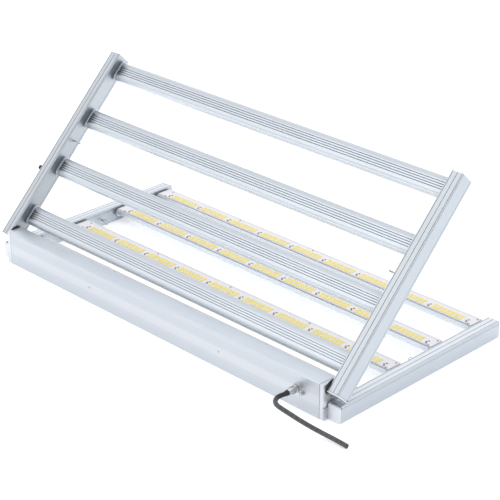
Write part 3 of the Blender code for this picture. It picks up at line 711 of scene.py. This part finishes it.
def add_camera():
    """Camera at the reference view."""
    azimuth, elevation = radians(CAMERA_AZIMUTH), radians(CAMERA_ELEVATION)
    back = Vector((sin(azimuth) * cos(elevation), -cos(azimuth) * cos(elevation), sin(elevation)))
    data = bpy.data.cameras.new("camera")
    data.lens = CAMERA_LENS
    data.sensor_width = CAMERA_SENSOR
    camera = bpy.data.objects.new("camera", data)
    camera.location = Vector(CAMERA_TARGET) + back * CAMERA_DISTANCE
    camera.rotation_euler = (-back).to_track_quat("-Z", "Y").to_euler()
    bpy.context.scene.collection.objects.link(camera)
    bpy.context.scene.camera = camera


def smooth_route(points, spacing):
    """Points at an even spacing on the natural cubic spline through a route."""
    knots = np.array(points)
    steps = np.linalg.norm(np.diff(knots, axis=0), axis=1)
    along = np.concatenate(([0.0], np.cumsum(steps)))
    count = len(knots)
    system = np.eye(count)
    right = np.zeros((count, 3))
    for i in range(1, count - 1):
        before, after = steps[i - 1], steps[i]
        system[i, i - 1:i + 2] = before, 2 * (before + after), after
        slope_change = (knots[i + 1] - knots[i]) / after - (knots[i] - knots[i - 1]) / before
        right[i] = 6 * slope_change
    bend = np.linalg.solve(system, right)
    samples = []
    for s in np.linspace(0.0, along[-1], int(round(along[-1] / spacing)) + 1):
        i = min(int(np.searchsorted(along, s, side="right")) - 1, count - 2)
        h = steps[i]
        a, b = along[i + 1] - s, s - along[i]
        samples.append(
            bend[i] * a ** 3 / (6 * h) + bend[i + 1] * b ** 3 / (6 * h)
            + (knots[i] / h - bend[i] * h / 6) * a
            + (knots[i + 1] / h - bend[i + 1] * h / 6) * b
        )
    return samples


def add_cord():
    """Mains cord: a tube with its texture laid round and along it, rounded at the cut end."""
    points = [Vector(point) for point in smooth_route(CORD_ROUTE, CORD_STEP)]
    lengths = [0.0]
    for before, after in zip(points, points[1:]):
        lengths.append(lengths[-1] + (after - before).length)
    tangents = [(points[min(i + 1, len(points) - 1)] - points[max(i - 1, 0)]).normalized()
                for i in range(len(points))]
    stations = [(point, tangent, CORD_RADIUS, length)
                for point, tangent, length in zip(points, tangents, lengths)]
    end, way, _, total = stations.pop()
    for angle in CORD_END_ANGLES:
        back = CORD_END_ROUND * (1 - sin(radians(angle)))
        radius = CORD_RADIUS - CORD_END_ROUND * (1 - cos(radians(angle)))
        stations.append((end - way * back, way, radius, total - back))
    bm = bmesh.new()
    layer = bm.loops.layers.uv.new("layout")
    side = tangents[0].orthogonal().normalized()
    rings = []
    for point, tangent, radius, length in stations:
        side = (side - tangent * side.dot(tangent)).normalized()
        other = tangent.cross(side)
        rings.append([
            bm.verts.new(point + (side * cos(a) + other * sin(a)) * radius)
            for a in (2 * pi * k / CORD_SIDES for k in range(CORD_SIDES))
        ])
    for number, (near, far) in enumerate(zip(rings, rings[1:])):
        for k in range(CORD_SIDES):
            following = (k + 1) % CORD_SIDES
            face = bm.faces.new((near[k], near[following], far[following], far[k]))
            corners = ((k, number), (k + 1, number), (k + 1, number + 1), (k, number + 1))
            for loop, (around, station) in zip(face.loops, corners):
                loop[layer].uv = (around / CORD_SIDES, stations[station][3])
    bm.faces.new(rings[0])
    bm.faces.new(rings[-1])
    cord = add_piece("mains_cord_jacket", bm, [cord_material()], "spine")
    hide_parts("mains_cord")


# ---- Detail pieces ----

def chip(bm, x, y, size, lens):
    """One LED: a housing with its lens set into a shallow pocket, facing -Z."""
    levels = ((0.0, CHIP_EMBED), (0.0, -CHIP_HEIGHT), (CHIP_RIM, -CHIP_HEIGHT),
              (CHIP_RIM, CHIP_POCKET - CHIP_HEIGHT))
    rings = []
    for inset, z in levels:
        across, along = size[0] / 2 - inset, size[1] / 2 - inset
        rings.append([
            bm.verts.new((x + right * across, y + up * along, z))
            for right, up in ((-1, -1), (1, -1), (1, 1), (-1, 1))
        ])
    bm.faces.new(rings[0])
    bridge(bm, rings)
    bm.faces.new(rings[-1]).material_index = lens


def led_mesh(materials):
    """All the chips of one board, about the bar's centre line."""
    bm = bmesh.new()
    rows = [ROW_SHIFT + CHIP_PITCH * (k - (CHIPS_ACROSS - 1) / 2) for k in range(CHIPS_ACROSS)]
    for mark in range(MARK_COUNT):
        start = MARK_SHIFT + MARK_PITCH * (mark + 0.5 - MARK_COUNT / 2)
        for along, across in RED_OFFSETS:
            chip(bm, -(start + along), across + ROW_SHIFT, RED_SIZE, RED_INDEX)
        if mark == MARK_COUNT - 1:
            continue
        for column in range(COLUMNS):
            middle = -(start + COLUMN_START + COLUMN_PITCH * column)
            for x in (middle - COLUMN_HALF, middle + COLUMN_HALF):
                for row in rows:
                    chip(bm, x, row, CHIP_SIZE, LENS_INDEX)
    return finished_mesh("led_chips", bm, materials)


def screw(bm, matrix, head):
    """Pan-head screw with a hexagonal socket, standing on the matrix's XY plane."""
    radius, height = head
    profile = [(radius * SCREW_ROOT, -SCREW_EMBED)]
    profile += [(radius * wide, height * high) for wide, high in SCREW_PROFILE]
    lathe(bm, profile, matrix, hex_rings=SCREW_SOCKET_RINGS)


def board_screw_mesh(materials):
    """The screws of one board, about the bar's centre line, heads facing -Z."""
    places = [(-(BOARD_SCREW_SHIFT + BOARD_SCREW_PITCH * number), BOARD_SCREW_ACROSS)
              for number in BOARD_SCREW_NUMBERS]
    places += [(end * END_SCREW_X - MARK_SHIFT, END_SCREW_ACROSS) for end in (-1, 1)]
    bm = bmesh.new()
    for x, y in places:
        screw(bm, facing((0, 0, -1), Vector((x, y, 0.0))), BOARD_SCREW_HEAD)
    return finished_mesh("board_screws", bm, materials)


def add_board_detail():
    """Chips and screws on each board."""
    lens = phosphor_material("warm_phosphor", LENS_TONES)
    red = phosphor_material("red_chip", RED_TONES)
    chips = led_mesh([chip_frame_material(), lens, red])
    screws = board_screw_mesh([metal_material("dark_screw", DARK_SCREW_TONES, 0.34)])
    for wing in WINGS:
        body = wing + "_wing"
        for number in BAR_NUMBERS:
            tag = "%s_bar_%d" % (wing, number)
            low, high = local_box(tag + "_led_board", wing)
            centre = Vector((0.0, (low.y + high.y) / 2, low.z))
            matrix = wing_matrix(wing) @ Matrix.Translation(centre)
            place_mesh(tag + "_led_chips", chips, body, matrix)
            place_mesh(tag + "_board_screws", screws, body, matrix)


def add_collars(name, profiles, matrix, material):
    """Turned rings that make one piece on the spine."""
    bm = bmesh.new()
    for profile in profiles:
        collar(bm, profile, matrix)
    add_piece(name, bm, [material], "spine")


def add_gland_detail():
    """Seal, rings, O-ring and grip ribs of the cable gland."""
    rubber = moulded_material("gland_rubber", GLAND_RUBBER_TONES, 0.55)
    x, _, z = CORD_ROUTE[0]
    mouth = facing((0, -1, 0), Vector((x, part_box("cable_gland")[0].y, z)))
    base = facing((0, -1, 0), Vector((x, SPINE_FRONT, z)))
    add_collars("gland_seal", [GLAND_SEAL], mouth, rubber)
    add_collars("gland_rings", [GLAND_BASE_RING, GLAND_LOCK_RING], base, nickel)
    add_collars("gland_o_ring", [GLAND_O_RING], base, rubber)
    bm = bmesh.new()
    for number in range(GLAND_RIBS):
        turn = base @ Matrix.Rotation(2 * pi * number / GLAND_RIBS, 4, "Z")
        cap_ends(bm, [
            [bm.verts.new(turn @ Vector((reach, across, height))) for reach, height in GLAND_RIB]
            for across in (-GLAND_RIB_HALF, GLAND_RIB_HALF)
        ])
    add_piece("gland_grip", bm, [nickel], "spine")


def add_port_detail():
    """Collar and socket of the port beside the gland."""
    low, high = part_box("dimmer_port")
    centre = (low + high) / 2
    mouth = facing((0, -1, 0), Vector((centre.x, low.y, centre.z)))
    add_collars("port_collar", [PORT_COLLAR], mouth, nickel)
    bm = bmesh.new()
    lathe(bm, PORT_SOCKET, mouth)
    add_piece("port_socket", bm, [zinc], "spine")


def add_spine_detail():
    """Small screws in the housing's long sides."""
    bm = bmesh.new()
    for side in (-1, 1):
        for face, axis in ((SPINE_FRONT, (0, -1, 0)), (SPINE_BACK, (0, 1, 0))):
            place = Vector((side * SPINE_SCREW_X, face, SPINE_SCREW_Z))
            screw(bm, facing(axis, place), SPINE_SCREW_HEAD)
    add_piece("spine_side_screws", bm, [zinc], "spine")


def add_plug_head():
    """Rubber head over the side plug of the upper left rail."""
    rubber = moulded_material("plug_rubber", PLUG_RUBBER_TONES, 0.6)
    low, high = local_box("upper_left_side_plug", "upper")
    wall = local_box("upper_left_rail", "upper")[0].x - PLUG_HEAD_EMBED
    place = wing_matrix("upper") @ Vector((wall, (low.y + high.y) / 2, (low.z + high.z) / 2))
    plug = (high.y - low.y) / 2
    skirt = plug + PLUG_HEAD_CLEAR
    radii = (skirt, plug, plug * 0.7, plug * 0.3, plug * 0.3, plug * 0.5)
    profile = [(plug * 0.5, 0.0), (skirt, 0.0), *zip(radii, PLUG_HEAD_HEIGHTS)]
    bm = bmesh.new()
    collar(bm, profile, facing((-1, 0, 0), place))
    add_piece("upper_left_side_plug_head", bm, [rubber], "upper_wing")


def add_corner_shade_blocks():
    """Small dark blocks at the outer lamp-side corners of the rails' hinge ends: painted shade
    standing in for the shade of a small notch there.
    """
    nylon = moulded_material("corner_block_painted_shade", CORNER_BLOCK_PAINTED_SHADE_TONES, 0.5)
    for wing in WINGS:
        for side in ("left", "right"):
            low, high = local_box("%s_%s_rail" % (wing, side), wing)
            outer, way = (high.x, 1) if high.x > 0 else (low.x, -1)
            y, z = low.y - CORNER_BLOCK_START, low.z + CORNER_BLOCK_TOP
            bm = bmesh.new()
            cap_ends(bm, [
                [bm.verts.new((x, y + along, z - down)) for along, down in CORNER_BLOCK_OUTLINE]
                for x in (outer - way * CORNER_BLOCK_DEPTH, outer + way * CORNER_BLOCK_PROUD)
            ])
            add_piece("%s_%s_corner_shade_block" % (wing, side), bm, [nylon], wing + "_wing",
                      wing_matrix(wing))


# ---- CAD nodes ----

def soften(name):
    """Weld a CAD node's split vertices and round its sharp edges a little."""
    weld = nodes[name].modifiers.new("weld", "WELD")
    weld.merge_threshold = WELD_DISTANCE
    bevel = nodes[name].modifiers.new("edges", "BEVEL")
    bevel.width = EDGE_ROUND
    bevel.segments = 2
    bevel.limit_method = "ANGLE"
    bevel.angle_limit = EDGE_ANGLE


def dress(name, material):
    """Give a CAD node its finished material."""
    mesh = nodes[name].data
    mesh.materials.clear()
    mesh.materials.append(material)


def dress_all():
    """Materials of every CAD node that stays in view."""
    heatsinks = {wing: heatsink_material(wing) for wing in WINGS}
    boards = {wing: board_material(wing) for wing in WINGS}
    rails = {wing: rail_material(wing) for wing in WINGS}
    caps = {
        "upper": upper_cap_material(),
        # painted light: a lighter, less metallic copy of the cap finish
        "lower": cast_material("lower_hinge_cap", LOWER_CAP_METAL, LOWER_CAP_PAINTED_LIGHT_TONES),
    }
    # painted shade: the bracket necks beyond the flange are darkened, standing in for the shadow
    # between flange and rail
    bracket = end_painted_tone_material("bracket_casting", BRACKET_TONES, BRACKET_PAINTED_SHADE,
                                  BRACKET_FLANGE_X)
    # painted light: the end caps' outer faces are lightened against the shade of the wing rails
    end_cap = end_painted_tone_material("spine_end_cap", END_CAP_TONES, END_CAP_PAINTED_LIGHT,
                                  END_CAP_X - 0.0004)
    nylon = moulded_material("washer_nylon", WASHER_TONES, 0.45, painted_light_below=WASHER_EDGE)
    driver = moulded_material("driver_case", DRIVER_TONES, 0.5)
    spine = spine_material()
    for name in nodes:
        wing = name.split("_")[0]
        if name.endswith("_heatsink"):
            dress(name, heatsinks[wing])
        elif name.endswith("_led_board"):
            dress(name, boards[wing])
        elif "_bracket_" in name:
            dress(name, bracket)
        elif name.endswith("_rail"):
            dress(name, rails[wing])
        elif name.endswith("_hinge_cap"):
            dress(name, caps[wing])
        elif name.endswith("_end_cap"):
            dress(name, end_cap)
        elif name == "spine_housing":
            dress(name, spine)
        elif name.endswith(("_pin", "_eye", "_spacer")):
            dress(name, zinc)
        elif name in ("cable_gland", "dimmer_port"):
            dress(name, nickel)
        elif name == "led_driver":
            dress(name, driver)
        elif name.endswith(("_washer", "_plug")):
            dress(name, nylon)


# ---- Studio ----

def add_floor():
    """Pale studio floor, lit from within so that it stays nearly white."""
    look = Look("studio_floor", 0.9, 0.0)
    light, dark = FLOOR_TONES
    look.finish(look.blend(look.noise(look.coordinates, scale=0.8), dark, light))
    look.feed(look.shader.inputs["Emission Color"], FLOOR_GLOW)
    look.feed(look.shader.inputs["Emission Strength"], FLOOR_GLOW_STRENGTH)
    bm = bmesh.new()
    bmesh.ops.create_grid(bm, x_segments=FLOOR_CELLS, y_segments=FLOOR_CELLS, size=FLOOR_REACH)
    mesh = bpy.data.meshes.new("floor")
    bm.to_mesh(mesh)
    bm.free()
    mesh.materials.append(look.material)
    ground = bpy.data.objects.new("floor", mesh)
    ground.location = (0.0, 0.0, -FLOOR_DROP)
    bpy.context.scene.collection.objects.link(ground)


def add_world():
    """Soft white surroundings, brightest up behind the object's left."""
    world = bpy.data.worlds.new("studio")
    bpy.context.scene.world = world
    world.use_nodes = True
    tree = world.node_tree
    background = tree.nodes["Background"]
    place = tree.nodes.new("ShaderNodeTexCoord")
    towards = tree.nodes.new("ShaderNodeVectorMath")
    towards.operation = "DOT_PRODUCT"
    towards.inputs[1].default_value = Vector(WORLD_BRIGHT_SIDE).normalized()
    tree.links.new(place.outputs["Generated"], towards.inputs[0])
    ramp = tree.nodes.new("ShaderNodeMapRange")
    ramp.inputs["From Min"].default_value = WORLD_DIM_UP_TO
    ramp.inputs["To Min"].default_value, ramp.inputs["To Max"].default_value = WORLD_STRENGTHS
    tree.links.new(towards.outputs["Value"], ramp.inputs["Value"])
    tree.links.new(ramp.outputs[0], background.inputs["Strength"])
    background.inputs["Color"].default_value = WORLD_COLOUR


def add_light(name, place, size, energy):
    """Square soft box that faces the object."""
    data = bpy.data.lights.new(name, "AREA")
    data.shape = "SQUARE"
    data.size = size
    data.energy = energy
    light = bpy.data.objects.new(name, data)
    light.location = place
    light.rotation_euler = (Vector(LIGHT_AIM) - Vector(place)).to_track_quat("-Z", "Y").to_euler()
    bpy.context.scene.collection.objects.link(light)


bpy.context.scene.view_settings.view_transform = "Standard"
add_camera()
add_cord()
zinc = metal_material("zinc_plate", ZINC_TONES, 0.32)
nickel = metal_material("nickel_plate", NICKEL_TONES, 0.24)
dress_all()
add_board_detail()
add_gland_detail()
add_port_detail()
add_spine_detail()
add_plug_head()
add_corner_shade_blocks()
for name in nodes:
    if name.endswith(("_cap", "_spacer")) or "_bracket_" in name:
        soften(name)
add_floor()
add_world()
for settings in LIGHTS:
    add_light(*settings)
